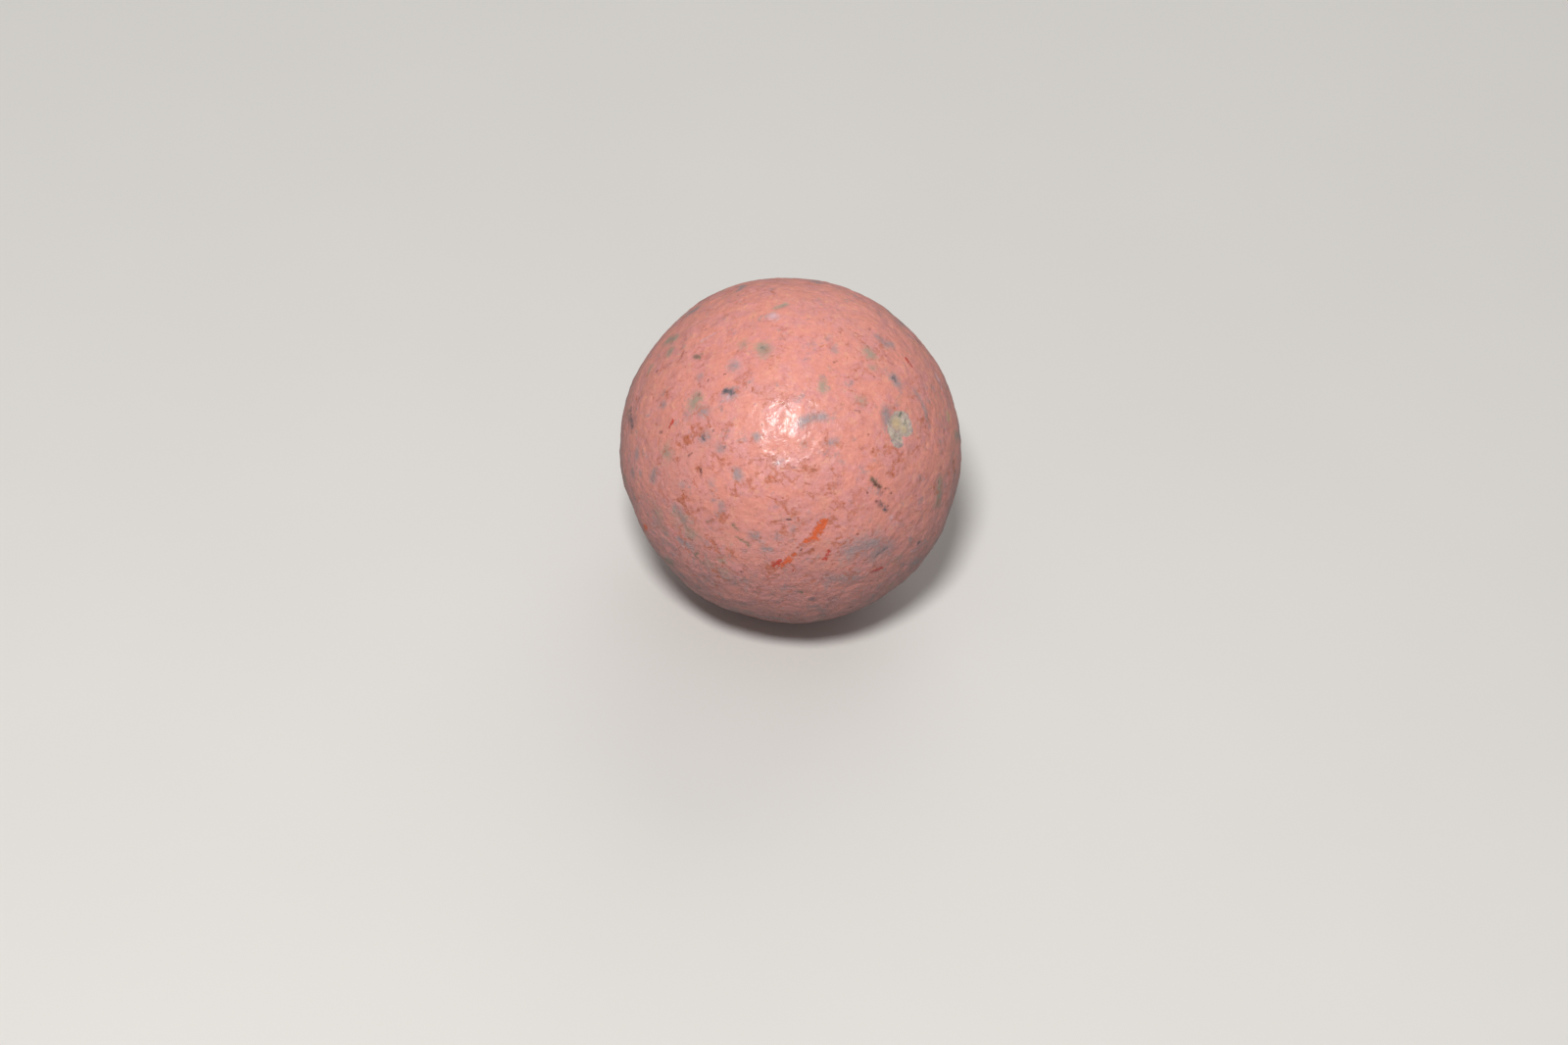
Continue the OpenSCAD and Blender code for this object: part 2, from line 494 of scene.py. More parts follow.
class Bench:
    """Short calls that add nodes to one tree. Each gives back an output socket."""

    def __init__(self, tree):
        self.tree = tree

    def feed(self, socket, value):
        if isinstance(value, bpy.types.NodeSocket):
            self.tree.links.new(value, socket)
        elif value is not None:
            socket.default_value = value

    def node(self, kind, inputs=(), **settings):
        made = self.tree.nodes.new(kind)
        for name, value in settings.items():
            setattr(made, name, value)
        for key, value in dict(inputs).items():
            self.feed(made.inputs[key], value)
        return made

    def math(self, operation, *values):
        made = self.node("ShaderNodeMath", operation=operation)
        for socket, value in zip(made.inputs, values):
            self.feed(socket, value)
        return made.outputs[0]

    def vector(self, operation, *values, scale=None):
        made = self.node("ShaderNodeVectorMath", operation=operation)
        for socket, value in zip(made.inputs, values):
            self.feed(socket, value)
        if scale is not None:
            self.feed(made.inputs["Scale"], scale)
        return made.outputs["Value" if operation in ("LENGTH", "DOT_PRODUCT", "DISTANCE") else "Vector"]

    def smooth(self, value, low, high, to_low=0.0, to_high=1.0):
        made = self.node("ShaderNodeMapRange", interpolation_type="SMOOTHSTEP")
        for socket, entry in zip(made.inputs, (value, low, high, to_low, to_high)):
            self.feed(socket, entry)
        return made.outputs[0]

    def mix(self, factor, a, b, blend="MIX"):
        made = self.node("ShaderNodeMix", data_type="RGBA", blend_type=blend)
        self.feed(made.inputs[0], factor)
        self.feed(made.inputs[6], a)
        self.feed(made.inputs[7], b)
        return made.outputs[2]

    def noise(self, vector, scale, detail=2.0, roughness=0.5, distortion=0.0, output=0):
        made = self.node("ShaderNodeTexNoise", {
            "Vector": vector, "Scale": scale, "Detail": detail,
            "Roughness": roughness, "Distortion": distortion,
        })
        return made.outputs[output]

    def cells(self, vector, width, feature="F1"):
        scale = self.math("DIVIDE", 1.0, width)
        return self.node("ShaderNodeTexVoronoi", {"Vector": vector, "Scale": scale}, feature=feature)

    def split(self, vector):
        return self.node("ShaderNodeSeparateXYZ", {0: vector}).outputs

    def join(self, x, y, z):
        return self.node("ShaderNodeCombineXYZ", {0: x, 1: y, 2: z}).outputs[0]


def new_material(name):
    """A material with an empty node tree."""
    material = bpy.data.materials.new(name)
    material.use_nodes = True
    material.node_tree.nodes.clear()
    return material


def group(name, kind, inputs, outputs):
    """A node group with named sockets, its bench, its input sockets by name and its output node."""
    tree = bpy.data.node_groups.new(name, kind)
    for label, socket_type, default in inputs:
        made = tree.interface.new_socket(label, in_out="INPUT", socket_type=socket_type)
        if default is not None:
            made.default_value = default
    for label, socket_type in outputs:
        tree.interface.new_socket(label, in_out="OUTPUT", socket_type=socket_type)
    bench = Bench(tree)
    entry = tree.nodes.new("NodeGroupInput")
    leave = tree.nodes.new("NodeGroupOutput")
    return bench, {s.name: s for s in entry.outputs if s.name}, leave


FLOAT, VECTOR, INTEGER = "NodeSocketFloat", "NodeSocketVector", "NodeSocketInt"
GEOMETRY, MATERIAL = "NodeSocketGeometry", "NodeSocketMaterial"


# ---------------------------------------------------------------- the ball's shape

def rolled_ball_tree():
    """Geometry nodes that swell a finely divided cube onto the core and lay the relief on it."""
    bench, given, leave = group(
        "rolled_ball", "GeometryNodeTree",
        [
            ("Core", GEOMETRY, None), ("Ball radius", FLOAT, BALL_R), ("Cells", INTEGER, 128),
            ("Facet blur", INTEGER, 9),
            ("Swell size", FLOAT, 0.001), ("Swell depth", FLOAT, 0.0),
            ("Ripple size", FLOAT, 0.001), ("Ripple depth", FLOAT, 0.0),
            ("Pit spacing", FLOAT, 0.001), ("Pit width", FLOAT, 0.0), ("Pit depth", FLOAT, 0.0),
            ("Scar place", VECTOR, (0, 0, 1)), ("Scar up", VECTOR, (0, 1, 0)),
            ("Scar tall", FLOAT, 0.001), ("Scar wide", FLOAT, 0.001),
            ("Grain size", FLOAT, 0.001), ("Grain height", FLOAT, 0.0),
            ("Seed", FLOAT, 0.0), ("Paint", MATERIAL, None),
        ],
        [("Ball", GEOMETRY)],
    )
    corners = bench.math("ADD", given["Cells"], 1.0)
    cube = bench.node("GeometryNodeMeshCube", {
        "Size": (2.0, 2.0, 2.0), "Vertices X": corners, "Vertices Y": corners, "Vertices Z": corners,
    }).outputs["Mesh"]

    # Keep each cell's place on the cube and its side, to lay out the bake map.
    spot = bench.node("GeometryNodeInputPosition").outputs[0]
    facing = bench.node("GeometryNodeInputNormal").outputs[0]
    keep_spot = bench.node("GeometryNodeCaptureAttribute", domain="POINT")
    keep_spot.capture_items.new("VECTOR", "Spot")
    bench.feed(keep_spot.inputs["Geometry"], cube)
    bench.feed(keep_spot.inputs["Spot"], spot)
    keep_side = bench.node("GeometryNodeCaptureAttribute", domain="FACE")
    keep_side.capture_items.new("VECTOR", "Side")
    bench.feed(keep_side.inputs["Geometry"], keep_spot.outputs["Geometry"])
    bench.feed(keep_side.inputs["Side"], facing)
    cube = keep_side.outputs["Geometry"]
    spot, side = keep_spot.outputs["Spot"], keep_side.outputs["Side"]

    # Equal angles make even cells, and a unit vector is the way out through each.
    turned = bench.vector("SCALE", spot, scale=math.pi / 4)
    way = bench.vector("NORMALIZE", bench.vector("TANGENT", turned))
    # The seed moves the ball to another place in the noises.
    seed_shift = bench.join(given["Seed"], bench.math("MULTIPLY", given["Seed"], 1.7), 0.0)
    on_ball = bench.vector("ADD", bench.vector("SCALE", way, scale=given["Ball radius"]),
                           bench.vector("SCALE", seed_shift, scale=0.013))

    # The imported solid's surface, met by a ray from outside, with its facets rounded.
    diameter = bench.math("MULTIPLY", given["Ball radius"], 2.0)
    cast = bench.node("GeometryNodeRaycast", {
        "Target Geometry": given["Core"],
        "Source Position": bench.vector("SCALE", way, scale=diameter),
        "Ray Direction": bench.vector("SCALE", way, scale=-1.0),
        "Ray Length": diameter,
    })
    core_radius = bench.vector("LENGTH", cast.outputs["Hit Position"])
    blur = bench.node("GeometryNodeBlurAttribute", {"Iterations": given["Facet blur"]}, data_type="FLOAT")
    bench.feed(blur.inputs[0], core_radius)
    core_radius = blur.outputs[0]

    # Swells and ripples of the skin.
    def wave(size, depth):
        level = bench.noise(on_ball, bench.math("DIVIDE", 1.0, size), 1.0, distortion=0.6)
        centred = bench.math("SUBTRACT", level, 0.5)
        return bench.math("MULTIPLY", centred, bench.math("MULTIPLY", depth, 2.0))

    swells = wave(given["Swell size"], given["Swell depth"])
    relief = bench.math("ADD", swells, wave(given["Ripple size"], given["Ripple depth"]))

    # Pinholes: a share of the cells of a cell pattern each holds one.
    pits = bench.cells(on_ball, given["Pit spacing"])
    away = bench.math("MULTIPLY", pits.outputs["Distance"], given["Pit spacing"])
    luck = bench.split(pits.outputs["Color"])
    opening = bench.math("MULTIPLY", given["Pit width"], bench.smooth(luck[0], 0.35, 1.0))
    pit = bench.smooth(bench.math("DIVIDE", away, bench.math("MAXIMUM", opening, 1e-7)), 1.0, 0.1)

    # The scar of pale grit, an uneven oval that is filled with grains.
    def share_of(size, direction):
        along = bench.math("MULTIPLY", bench.vector("DOT_PRODUCT", way, direction), diameter)
        return bench.math("DIVIDE", along, size)

    side_way = bench.vector("CROSS_PRODUCT", given["Scar up"], given["Scar place"])
    up_share = share_of(given["Scar tall"], given["Scar up"])
    side_share = share_of(given["Scar wide"], side_way)
    ragged = bench.noise(on_ball, 1600.0, 2.0)
    from_middle = bench.vector("LENGTH", bench.join(up_share, side_share, 0.0))
    edge = bench.math("ADD", from_middle, bench.math("MULTIPLY", bench.math("SUBTRACT", ragged, 0.5), 0.9))
    front = bench.math("GREATER_THAN", bench.vector("DOT_PRODUCT", way, given["Scar place"]), 0.5)
    scar = bench.math("MULTIPLY", bench.smooth(edge, 1.12, 0.86), front)
    wobble = bench.vector("SCALE", bench.noise(on_ball, 2200.0, 1.0, output=1), scale=0.00022)
    grains = bench.cells(bench.vector("ADD", on_ball, wobble), given["Grain size"])
    dome = bench.smooth(grains.outputs["Distance"], 0.75, 0.05)
    grain_rise = bench.math("MULTIPLY", bench.math("SUBTRACT", dome, 0.45), given["Grain height"])

    relief = bench.math("SUBTRACT", relief, bench.math("MULTIPLY", pit, given["Pit depth"]))
    relief = bench.math("ADD", relief, bench.math("MULTIPLY", scar, grain_rise))
    set_place = bench.node("GeometryNodeSetPosition", {
        "Geometry": cube,
        "Position": bench.vector("SCALE", way, scale=bench.math("ADD", core_radius, relief)),
    }).outputs[0]

    def store(geometry, label, value, data_type="FLOAT", domain="POINT"):
        made = bench.node("GeometryNodeStoreNamedAttribute", data_type=data_type, domain=domain)
        bench.feed(made.inputs["Geometry"], geometry)
        bench.feed(made.inputs["Name"], label)
        bench.feed(made.inputs["Value"], value)
        return made.outputs["Geometry"]

    shaped = store(set_place, "pinhole", pit)
    shaped = store(shaped, "grain_dome", dome)

    # The bake map: the cube's six sides as two rows of three squares, each with a thin margin.
    across, deep, high = bench.split(spot)
    side_x, side_y, side_z = bench.split(side)
    size_x = bench.math("ABSOLUTE", side_x)
    size_y = bench.math("ABSOLUTE", side_y)
    size_z = bench.math("ABSOLUTE", side_z)
    sign = bench.math("SIGN", bench.math("ADD", bench.math("ADD", side_x, side_y), side_z))

    def pick(for_x, for_y, for_z):
        parts = [bench.math("MULTIPLY", size, value)
                 for size, value in ((size_x, for_x), (size_y, for_y), (size_z, for_z))]
        return bench.math("ADD", bench.math("ADD", parts[0], parts[1]), parts[2])

    u_local, v_local = pick(deep, across, across), pick(high, high, deep)
    column = bench.math("ADD", size_y, bench.math("MULTIPLY", size_z, 2.0))
    row = bench.math("MULTIPLY", bench.math("ADD", sign, 1.0), 0.5)
    filled = 0.49

    def on_map(square, local, squares):
        reach = bench.math("MULTIPLY", local, filled)
        return bench.math("DIVIDE", bench.math("ADD", bench.math("ADD", square, 0.5), reach), squares)

    u_map, v_map = on_map(column, u_local, 3.0), on_map(row, v_local, 2.0)
    shaped = store(shaped, BAKE_MAP, bench.join(u_map, v_map, 0.0), "FLOAT2", "CORNER")

    smooth = bench.node("GeometryNodeSetShadeSmooth", {"Geometry": shaped}).outputs[0]
    real = bench.node("GeometryNodeRealizeInstances", {"Geometry": smooth}).outputs[0]
    painted = bench.node("GeometryNodeSetMaterial", {"Geometry": real, "Material": given["Paint"]})
    bench.feed(leave.inputs["Ball"], painted.outputs[0])
    return bench.tree


def merged_core():
    """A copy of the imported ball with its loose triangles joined."""
    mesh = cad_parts[CORE_NODE].data.copy()
    work = bmesh.new()
    work.from_mesh(mesh)
    bmesh.ops.remove_doubles(work, verts=work.verts, dist=1e-7)
    work.to_mesh(mesh)
    work.free()
    core = bpy.data.objects.new("clay_core", mesh)
    bpy.context.collection.objects.link(core)
    return core


def set_inputs(modifier, values):
    """Sets a geometry nodes modifier's inputs by the identifiers of their sockets."""
    for item in modifier.node_group.interface.items_tree:
        if item.item_type == "SOCKET" and item.in_out == "INPUT" and item.name in values:
            modifier[item.identifier] = values[item.name]


def rolled_ball(clay, paint):
    """The ball's plain mesh, from the geometry nodes on the merged core."""
    core = merged_core()
    modifier = core.modifiers.new("rolled_ball", "NODES")
    modifier.node_group = rolled_ball_tree()
    scar = place(clay.scar_bearing, clay.scar_height)
    scar_up = (Vector((0, 0, 1)) - scar * scar.z).normalized()
    set_inputs(modifier, {
        "Ball radius": BALL_R, "Cells": clay.cells, "Facet blur": clay.facet_blur,
        "Swell size": clay.swell_size, "Swell depth": clay.swell_depth,
        "Ripple size": clay.ripple_size, "Ripple depth": clay.ripple_depth,
        "Pit spacing": clay.pit_spacing, "Pit width": clay.pit_width, "Pit depth": clay.pit_depth,
        "Scar place": scar, "Scar up": scar_up,
        "Scar tall": clay.scar_tall, "Scar wide": clay.scar_wide,
        "Grain size": clay.grain_size, "Grain height": clay.grain_height,
        "Seed": float(clay.seed), "Paint": paint,
    })
    bpy.context.view_layer.update()
    seen = core.evaluated_get(bpy.context.evaluated_depsgraph_get())
    mesh = bpy.data.meshes.new_from_object(seen)
    core_mesh = core.data
    bpy.data.objects.remove(core)
    bpy.data.meshes.remove(core_mesh)
    if len(mesh.polygons) != 6 * clay.cells ** 2:
        raise RuntimeError("the geometry nodes gave no whole ball")
    mesh.name = PIECE
    ball = bpy.data.objects.new(PIECE, mesh)
    bpy.context.collection.objects.link(ball)
    return ball


# ---------------------------------------------------------------- the paint

def stroke_mask_group():
    """Turns a stroke field into a mask with a ragged edge."""
    bench, given, leave = group(
        "stroke_mask", "ShaderNodeTree",
        [("Field", FLOAT, 0.0), ("Noise", FLOAT, 0.5), ("Ragged", FLOAT, 0.5),
         ("Low", FLOAT, 0.3), ("High", FLOAT, 0.6)],
        [("Mask", FLOAT)],
    )
    shift = bench.math("MULTIPLY", bench.math("SUBTRACT", given["Noise"], 0.5), given["Ragged"])
    gate = bench.smooth(given["Field"], 0.02, 0.2)
    shifted = bench.math("ADD", given["Field"], bench.math("MULTIPLY", shift, gate))
    bench.feed(leave.inputs["Mask"], bench.smooth(shifted, given["Low"], given["High"]))
    return bench.tree


def speck_group():
    """Small round specks: a share of the cells of a cell pattern each holds one."""
    bench, given, leave = group(
        "specks", "ShaderNodeTree",
        [("Vector", VECTOR, (0, 0, 0)), ("Spacing", FLOAT, 0.0005), ("Speck", FLOAT, 0.0001),
         ("Share", FLOAT, 0.5)],
        [("Mask", FLOAT)],
    )
    pattern = bench.cells(given["Vector"], given["Spacing"])
    away = bench.math("MULTIPLY", pattern.outputs["Distance"], given["Spacing"])
    luck = bench.split(pattern.outputs["Color"])
    held = bench.math("LESS_THAN", luck[0], given["Share"])
    share = bench.math("ADD", bench.math("MULTIPLY", luck[1], 0.7), 0.3)
    size = bench.math("MULTIPLY", given["Speck"], share)
    inside = bench.smooth(away, size, bench.math("MULTIPLY", size, 0.4))
    bench.feed(leave.inputs["Mask"], bench.math("MULTIPLY", inside, held))
    return bench.tree


def vein_group():
    """A net of soft lines round islands of paint, thick and thin and broken by a noise."""
    bench, given, leave = group(
        "veins", "ShaderNodeTree",
        [("Vector", VECTOR, (0, 0, 0)), ("Island", FLOAT, 0.001), ("Width", FLOAT, 0.0001),
         ("Share", FLOAT, 0.5)],
        [("Mask", FLOAT)],
    )
    net = bench.cells(given["Vector"], given["Island"], "DISTANCE_TO_EDGE")
    away = bench.math("MULTIPLY", net.outputs["Distance"], given["Island"])
    runs = bench.noise(given["Vector"], bench.math("DIVIDE", 0.8, given["Island"]), 3.0, 0.6)
    gap = bench.math("SUBTRACT", 1.0, given["Share"])
    fat = bench.smooth(runs, gap, bench.math("ADD", gap, 0.22))
    reach = bench.math("MULTIPLY", given["Width"], bench.math("ADD", fat, 0.05))
    line = bench.smooth(away, reach, 0.0)
    bench.feed(leave.inputs["Mask"], bench.math("MULTIPLY", line, fat))
    return bench.tree


class Skin(Bench):
    """The bench of the ball's paint, with the places, noises and strokes that its layers share."""

    def __init__(self, tree, paint):
        super().__init__(tree)
        self.paint = paint
        self.stroke_mask, self.specks, self.veins = stroke_mask_group(), speck_group(), vein_group()
        self.here = self.node("ShaderNodeTexCoord").outputs["Object"]
        self.wavy = self.moved(self.moved(self.here, 900.0, 0.0012), 3200.0, 0.0004)
        self.height = self.split(self.here)[2]
        self.low_side = self.smooth(self.height, 0.0045, -0.0035)
        self.broad = self.noise(self.here, 330.0, 3.0, 0.6, 0.5)
        self.middle = self.noise(self.here, 1000.0, 4.0, 0.7)
        self.crumb = self.noise(self.here, 2400.0, 6.0, 0.8, 0.6)
        self.grain = self.noise(self.here, 4200.0, 5.0, 0.85, 0.4)
        self.fine = self.noise(self.here, 6500.0, 4.0, 0.75)
        self.fields = {}
        for name, finishes in STROKE_LAYERS.items():
            self.fields.update(zip(finishes, self.split(self.attribute(name, "Vector"))))

    def attribute(self, name, output):
        return self.node("ShaderNodeAttribute", attribute_name=name).outputs[output]

    def moved(self, vector, scale, amount):
        push = self.vector("SUBTRACT", self.noise(self.here, scale, 2.0, output=1), (0.5, 0.5, 0.5))
        return self.vector("ADD", vector, self.vector("SCALE", push, scale=amount))

    def placed(self, tree, **inputs):
        """A group's mask."""
        made = self.node("ShaderNodeGroup", node_tree=tree)
        for name, value in inputs.items():
            self.feed(made.inputs[name], value)
        return made.outputs[0]

    def strokes(self, finish, noise, ragged, low, high):
        """The mask of a finish's strokes."""
        return self.placed(self.stroke_mask, Field=self.fields[finish], Noise=noise,
                           Ragged=ragged, Low=low, High=high)

    def lay(self, mask, under, finish):
        """A finish's colour over what lies under it."""
        return self.mix(mask, under, (*getattr(self.paint, finish), 1.0))

    def scaled(self, value, share):
        return self.math("MULTIPLY", value, share)

    def most(self, *values):
        """The greatest of some values."""
        first, *rest = values
        for value in rest:
            first = self.math("MAXIMUM", first, value)
        return first


def coat(skin):
    """Coral and rose in slow fields, thinned to peach, and greyer and darker towards the bottom."""
    coral = (*skin.paint.coral, 1.0)
    colour = skin.lay(skin.smooth(skin.middle, 0.40, 0.62), coral, "rose")
    colour = skin.lay(skin.smooth(skin.crumb, 0.50, 0.68, 0.0, 0.85), colour, "peach")
    greyed = skin.smooth(skin.broad, 0.5, 0.75, 0.0, 0.5)
    greyed = skin.math("ADD", skin.scaled(skin.low_side, 0.6), greyed)
    greyed = skin.math("MULTIPLY", greyed, skin.smooth(skin.crumb, 0.3, 0.6))
    return skin.lay(greyed, colour, "mauve")


def soft_marks(skin, colour):
    """Soft spots and smears, first by chance and then where they are laid."""
    cloud = skin.noise(skin.here, 1250.0, 4.0, 0.7)
    # A little more bloom lower down, so the ball is greyer towards the bottom.
    cloud = skin.math("ADD", cloud, skin.scaled(skin.low_side, 0.07))
    colour = skin.lay(skin.smooth(cloud, 0.57, 0.72, 0.0, 0.7), colour, "bloom")
    for finish in STROKE_LAYERS["soft_strokes"]:
        colour = skin.lay(skin.strokes(finish, skin.crumb, 1.6, 0.10, 0.98), colour, finish)
    return colour


def bare_clay(skin, colour):
    """Clay that shows in a net of veins, in pores and where strokes of rust lie."""
    net = skin.placed(skin.veins, Vector=skin.wavy, Island=0.00080, Width=0.00015, Share=0.60)
    rust = skin.fields["rust"]
    front = skin.vector("DOT_PRODUCT", skin.here, tuple(place(-12, 22) / BALL_R))
    veined = skin.math("ADD", skin.broad, skin.smooth(front, 0.70, 0.95, 0.0, 0.12))

    thin = skin.math("ADD", skin.scaled(net, 0.20), skin.scaled(rust, 0.26))
    thin = skin.smooth(skin.math("ADD", thin, skin.grain), 0.52, 0.78, 0.0, 0.85)
    thin = skin.math("MULTIPLY", thin, skin.smooth(veined, 0.36, 0.66, 0.25, 1.0))
    colour = skin.lay(thin, colour, "vein")

    worn = skin.math("ADD", skin.scaled(net, 0.05), skin.scaled(rust, 0.14))
    worn = skin.math("ADD", worn, skin.smooth(veined, 0.40, 0.70, 0.0, 0.055))
    worn = skin.smooth(skin.math("ADD", worn, skin.grain), 0.64, 0.76, 0.0, 0.9)
    return skin.lay(worn, colour, "rust"), skin.most(thin, worn)


def bright_streaks(skin, colour):
    """Orange streaks with a fringe of thin paint, and red cores."""
    fringe = skin.strokes("orange", skin.grain, 3.4, 0.20, 0.60)
    colour = skin.lay(skin.scaled(fringe, 0.5), colour, "vein")
    orange = skin.strokes("orange", skin.grain, 3.4, 0.44, 0.62)
    colour = skin.lay(orange, colour, "orange")
    scarlet = skin.strokes("scarlet", skin.grain, 3.4, 0.40, 0.66)
    return skin.lay(skin.scaled(scarlet, 0.9), colour, "scarlet"), skin.most(orange, scarlet)


def dark_marks(skin, colour):
    """Dark grey and green spots, specks, and the bottoms of the pinholes."""
    for finish in ("slate", "olive"):
        colour = skin.lay(skin.strokes(finish, skin.crumb, 2.6, 0.28, 1.10), colour, finish)
    dots = skin.placed(skin.specks, Vector=skin.wavy, Spacing=0.00085, Speck=0.00010, Share=0.34)
    pinhole = skin.scaled(skin.attribute("pinhole", "Fac"), 0.5)
    umber = skin.strokes("umber", skin.fine, 2.0, 0.22, 1.10)
    dark = skin.most(skin.scaled(dots, 0.65), pinhole, umber)
    return skin.lay(dark, colour, "umber"), dark


def grit_scar(skin, colour):
    """The scar of grit: pale grains, a few of them yellow, with painted shade in the gaps."""
    scar = skin.strokes("grit", skin.crumb, 0.9, 0.36, 0.50)
    pale = skin.lay(skin.smooth(skin.crumb, 0.40, 0.62), (*skin.paint.grit, 1.0), "bloom")
    dome = skin.attribute("grain_dome", "Fac")
    # Painted shade where the grains' domes fall away between them.
    pale = skin.lay(skin.smooth(dome, 0.22, 0.02, 0.0, 0.3), pale, "crevice")
    colour = skin.mix(scar, colour, pale)
    yellow = skin.strokes("straw", skin.crumb, 1.4, 0.2, 0.9)
    colour = skin.lay(skin.scaled(yellow, 0.8), colour, "straw")
    # More painted shade, in the gaps laid as strokes.
    gaps = skin.strokes("crevice", skin.crumb, 2.0, 0.35, 0.9)
    return skin.lay(gaps, colour, "crevice"), scar


def wrinkles(skin, colour):
    """Fine wrinkles that run level, with a painted highlight on their backs."""
    level_way = skin.vector("MULTIPLY", skin.wavy, (1.0, 1.0, 2.2))
    wrinkle = skin.noise(level_way, 1000.0, 4.0, 0.7)
    from_back = skin.math("ABSOLUTE", skin.math("SUBTRACT", wrinkle, 0.5))
    share = skin.smooth(skin.height, 0.003, -0.0045, 0.12, 1.0)
    ridge_and_glint = skin.math("MULTIPLY", skin.smooth(from_back, 0.05, 0.0), share)
    # The pale milk laid on the wrinkles' backs is a painted highlight.
    return skin.lay(skin.scaled(ridge_and_glint, 0.22), colour, "milk"), ridge_and_glint


def painted_clay(paint):
    """Worn pink paint on clay under a thin uneven varnish."""
    material = new_material(SLOT)
    skin = Skin(material.node_tree, paint)
    colour = soft_marks(skin, coat(skin))
    colour, bare = bare_clay(skin, colour)
    colour, streaks = bright_streaks(skin, colour)
    colour, dark = dark_marks(skin, colour)
    colour, scar = grit_scar(skin, colour)
    colour, ridge_and_glint = wrinkles(skin, colour)

    # Grain of the clay, light and dark.
    shade = skin.smooth(skin.math("ADD", skin.fine, skin.crumb), 0.65, 1.35, 0.89, 1.09)
    colour = skin.mix(1.0, colour, skin.join(shade, shade, shade), "MULTIPLY")
    rough = skin.smooth(skin.crumb, 0.3, 0.7, 0.34, 0.54)
    rough = skin.most(rough, skin.scaled(scar, 0.8), skin.scaled(dark, 0.6))

    # Relief: ripples, wrinkles, sunken clay and raised streaks.
    ripple = skin.noise(skin.here, 3600.0, 1.0, 0.5, 0.5)
    level = skin.math("ADD", ripple, skin.scaled(ridge_and_glint, 0.8))
    level = skin.math("ADD", level, skin.scaled(skin.fine, 0.12))
    level = skin.math("SUBTRACT", level, skin.scaled(skin.most(bare, dark), 0.25))
    level = skin.math("ADD", level, skin.scaled(streaks, 0.15))
    relief = skin.node("ShaderNodeBump", {
        "Strength": 1.0, "Distance": paint.brush_depth, "Height": level,
    })

    # The varnish lies in curls of its own, which break up a lamp's glint.
    curls = skin.node("ShaderNodeBump", {
        "Strength": 1.0, "Distance": paint.curl_depth,
        "Height": skin.noise(skin.here, 2600.0, 1.0, 0.4, 1.2),
    })
    worn_off = skin.scaled(scar, paint.varnish - paint.grit_varnish)
    shader = skin.node("ShaderNodeBsdfPrincipled", {
        "Base Color": colour, "Roughness": rough, "IOR": 1.5, "Normal": relief.outputs[0],
        "Coat Weight": skin.math("SUBTRACT", paint.varnish, worn_off),
        "Coat Roughness": paint.varnish_rough, "Coat IOR": 1.5, "Coat Normal": curls.outputs[0],
    })
    out = skin.node("ShaderNodeOutputMaterial")
    skin.feed(out.inputs["Surface"], shader.outputs[0])
    return material


# ---------------------------------------------------------------- floor, lamps and camera

def stage_shader(name, seen, felt):
    """A surface that shows one colour to the camera and lights with another."""
    material = new_material(name)
    bench = Bench(material.node_tree)
    looked = bench.node("ShaderNodeLightPath").outputs["Is Camera Ray"]
    cloudy = bench.noise(bench.node("ShaderNodeTexCoord").outputs["Object"], 60.0, 4.0)
    mottle = bench.smooth(cloudy, 0.3, 0.7, 0.985, 1.0)
    shown = bench.mix(1.0, (*seen, 1.0), bench.join(mottle, mottle, mottle), "MULTIPLY")
    colour = bench.mix(looked, (*felt, 1.0), shown)
    matt = bench.node("ShaderNodeBsdfPrincipled", {
        "Base Color": colour, "Roughness": 0.9, "Specular IOR Level": 0.1,
    })
    clear = bench.node("ShaderNodeBsdfTransparent")
    under = bench.node("ShaderNodeNewGeometry").outputs["Backfacing"]
    mixed = bench.node("ShaderNodeMixShader", {0: under, 1: matt.outputs[0], 2: clear.outputs[0]})
    out = bench.node("ShaderNodeOutputMaterial")
    bench.feed(out.inputs["Surface"], mixed.outputs[0])
    return material


def lay_floor(stage):
    """A wide pale floor under the lowest point of what is built so far."""
    half = stage.floor_width / 2
    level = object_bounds()[0][2]
    mesh = bpy.data.meshes.new("floor")
    corners = [(-half, -half, level), (half, -half, level), (half, half, level), (-half, half, level)]
    mesh.from_pydata(corners, [], [(0, 1, 2, 3)])
    mesh.materials.append(stage_shader("floor_matt", stage.floor_colour, stage.floor_bounce))
    floor = bpy.data.objects.new("floor", mesh)
    bpy.context.collection.objects.link(floor)
    floor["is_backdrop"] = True


def hang_lamp(name, way, level, spread, reach, glints):
    """A round lamp that shines on the ball from one way and makes white render at a level."""
    lamp = bpy.data.lights.new(name, "AREA")
    lamp.shape = "DISK"
    lamp.size = 2 * reach * math.tan(math.radians(spread))
    lamp.energy = math.pi ** 2 * level * reach ** 2
    hung = bpy.data.objects.new(name, lamp)
    hung.location = way * reach
    hung.rotation_euler = (-way).to_track_quat("-Z", "Y").to_euler()
    hung.visible_camera = False
    hung.visible_glossy = glints
    bpy.context.collection.objects.link(hung)


def light_air(stage):
    """Even light from all round, with a pale background for the camera."""
    world = bpy.data.worlds.new("studio_air")
    world.use_nodes = True
    world.node_tree.nodes.clear()
    bench = Bench(world.node_tree)
    seen = bench.node("ShaderNodeLightPath").outputs["Is Camera Ray"]
    air = bench.node("ShaderNodeBackground", {"Color": (1, 1, 1, 1), "Strength": stage.air_level})
    wall = bench.node("ShaderNodeBackground", {"Color": (*stage.wall_colour, 1.0), "Strength": 1.0})
    mixed = bench.node("ShaderNodeMixShader", {0: seen, 1: air.outputs[0], 2: wall.outputs[0]})
    out = bench.node("ShaderNodeOutputWorld")
    bench.feed(out.inputs["Surface"], mixed.outputs[0])
    bpy.context.scene.world = world


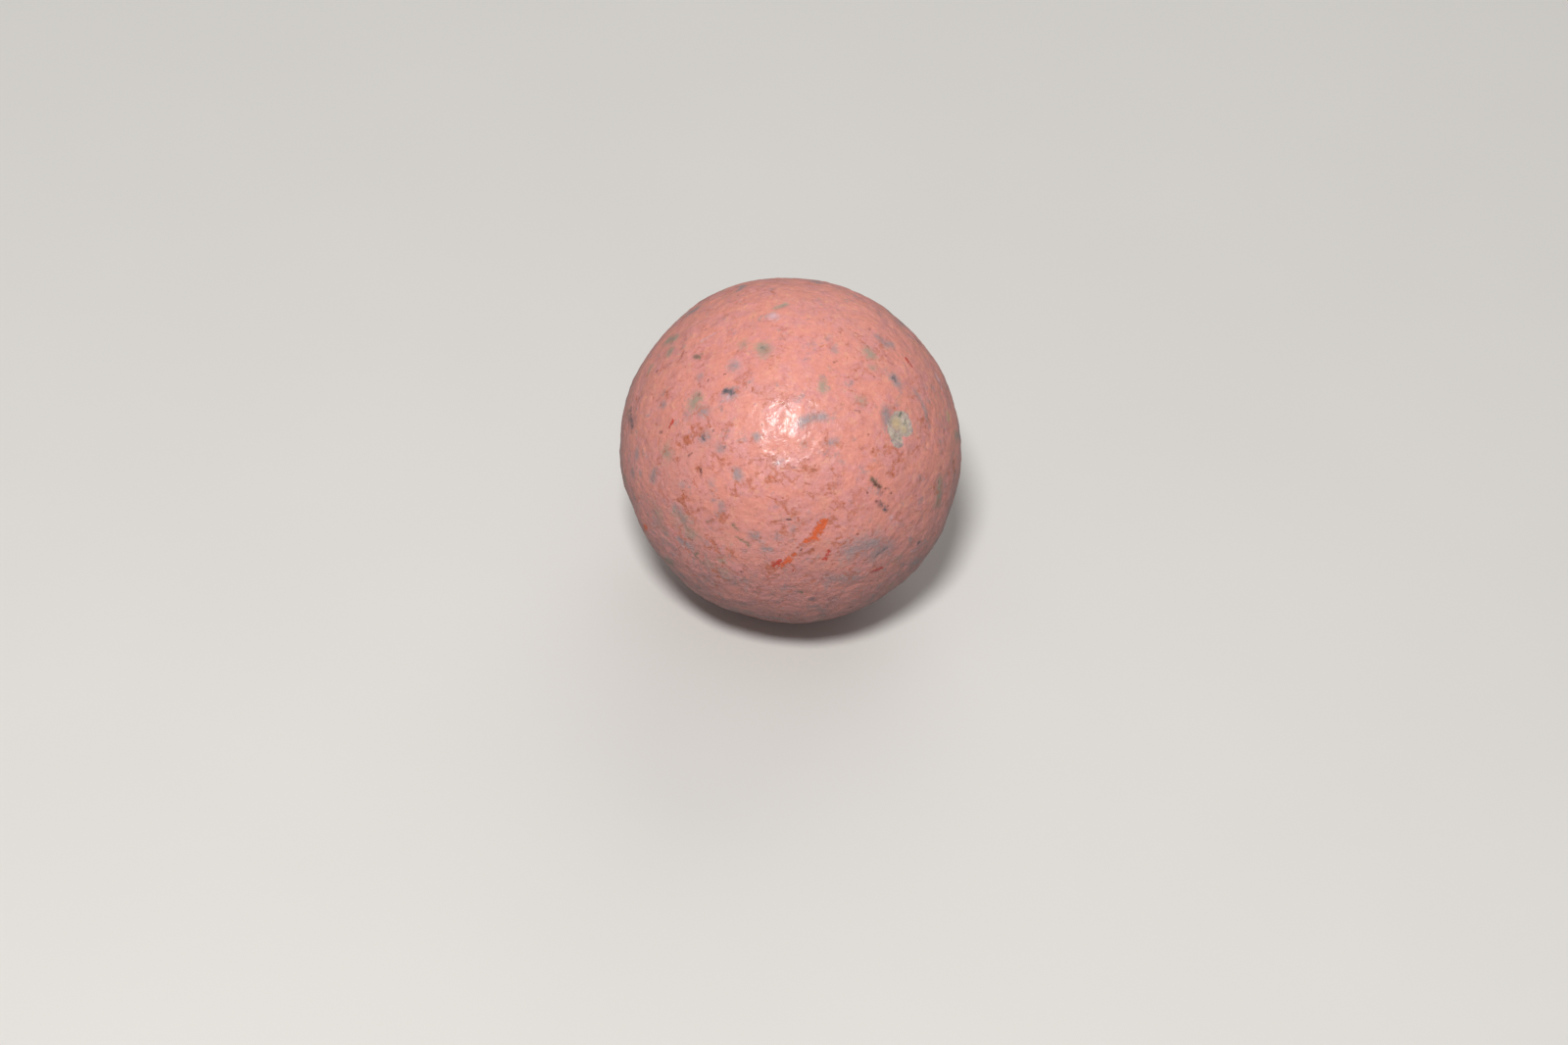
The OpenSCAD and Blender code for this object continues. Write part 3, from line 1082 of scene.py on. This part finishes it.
def set_camera(stage):
    """A long lens that looks down on the ball and frames it a little above the middle."""
    lens = bpy.data.cameras.new("camera")
    lens.lens = stage.lens
    lens.sensor_width = SENSOR
    lens.clip_start, lens.clip_end = 0.01, 10.0
    lens.shift_x, lens.shift_y = stage.shift_x, stage.shift_y
    half_angle = math.atan(stage.ball_share / 2 * SENSOR / stage.lens)
    back = place(0, stage.camera_height)
    camera = bpy.data.objects.new("camera", lens)
    camera.location = back * (BALL_R / math.sin(half_angle))
    look = (-back).to_track_quat("-Z", "Y").to_matrix()
    roll = Matrix.Rotation(math.radians(stage.camera_roll), 3, "Z")
    camera.rotation_euler = (look @ roll).to_euler()
    bpy.context.collection.objects.link(camera)
    bpy.context.scene.camera = camera


# ---------------------------------------------------------------- operators and panel

class MARBLE_OT_ball(bpy.types.Operator):
    """Make the painted clay ball"""

    bl_idname = "marble.ball"
    bl_label = "Painted clay ball"

    def execute(self, context):
        clay, paint = context.scene.marble_clay, context.scene.marble_paint
        ball = rolled_ball(clay, painted_clay(paint))
        lay_strokes(ball.data, clay.seed)
        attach(ball, BODY)
        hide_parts(CORE_NODE)
        return {"FINISHED"}


class MARBLE_OT_stage(bpy.types.Operator):
    """Lay the floor, hang the lamps and set the camera"""

    bl_idname = "marble.stage"
    bl_label = "Floor, lamps and camera"

    def execute(self, context):
        stage = context.scene.marble_stage
        lay_floor(stage)
        key_way = place(stage.key_bearing, stage.key_height)
        hang_lamp("key_lamp", key_way, stage.key_level, stage.key_spread, stage.lamp_reach, True)
        fill_way = place(stage.fill_bearing, stage.fill_height)
        hang_lamp("fill_lamp", fill_way, stage.fill_level, stage.fill_spread, stage.lamp_reach, False)
        light_air(stage)
        set_camera(stage)
        context.scene.view_settings.view_transform = "Standard"
        return {"FINISHED"}


class MARBLE_PT_panel(bpy.types.Panel):
    """Sizes and colours of the marble"""

    bl_idname = "MARBLE_PT_panel"
    bl_label = "Clay marble"
    bl_space_type = "VIEW_3D"
    bl_region_type = "UI"
    bl_category = "Marble"

    def draw(self, context):
        parts = (
            ("marble_clay", "marble.ball"),
            ("marble_paint", None),
            ("marble_stage", "marble.stage"),
        )
        for settings_name, operator in parts:
            box = self.layout.box()
            settings = getattr(context.scene, settings_name)
            for prop in settings.bl_rna.properties:
                if not prop.is_readonly and prop.identifier != "name":
                    box.prop(settings, prop.identifier)
            if operator:
                box.operator(operator)


CLASSES = (MarbleClay, MarblePaint, MarbleStage, MARBLE_OT_ball, MARBLE_OT_stage, MARBLE_PT_panel)


def register():
    for cls in CLASSES:
        bpy.utils.register_class(cls)
    bpy.types.Scene.marble_clay = bpy.props.PointerProperty(type=MarbleClay)
    bpy.types.Scene.marble_paint = bpy.props.PointerProperty(type=MarblePaint)
    bpy.types.Scene.marble_stage = bpy.props.PointerProperty(type=MarbleStage)


def unregister():
    del bpy.types.Scene.marble_stage
    del bpy.types.Scene.marble_paint
    del bpy.types.Scene.marble_clay
    for cls in reversed(CLASSES):
        bpy.utils.unregister_class(cls)


def main():
    register()
    bpy.ops.marble.ball()
    bpy.ops.marble.stage()


if __name__ == "__main__":
    main()
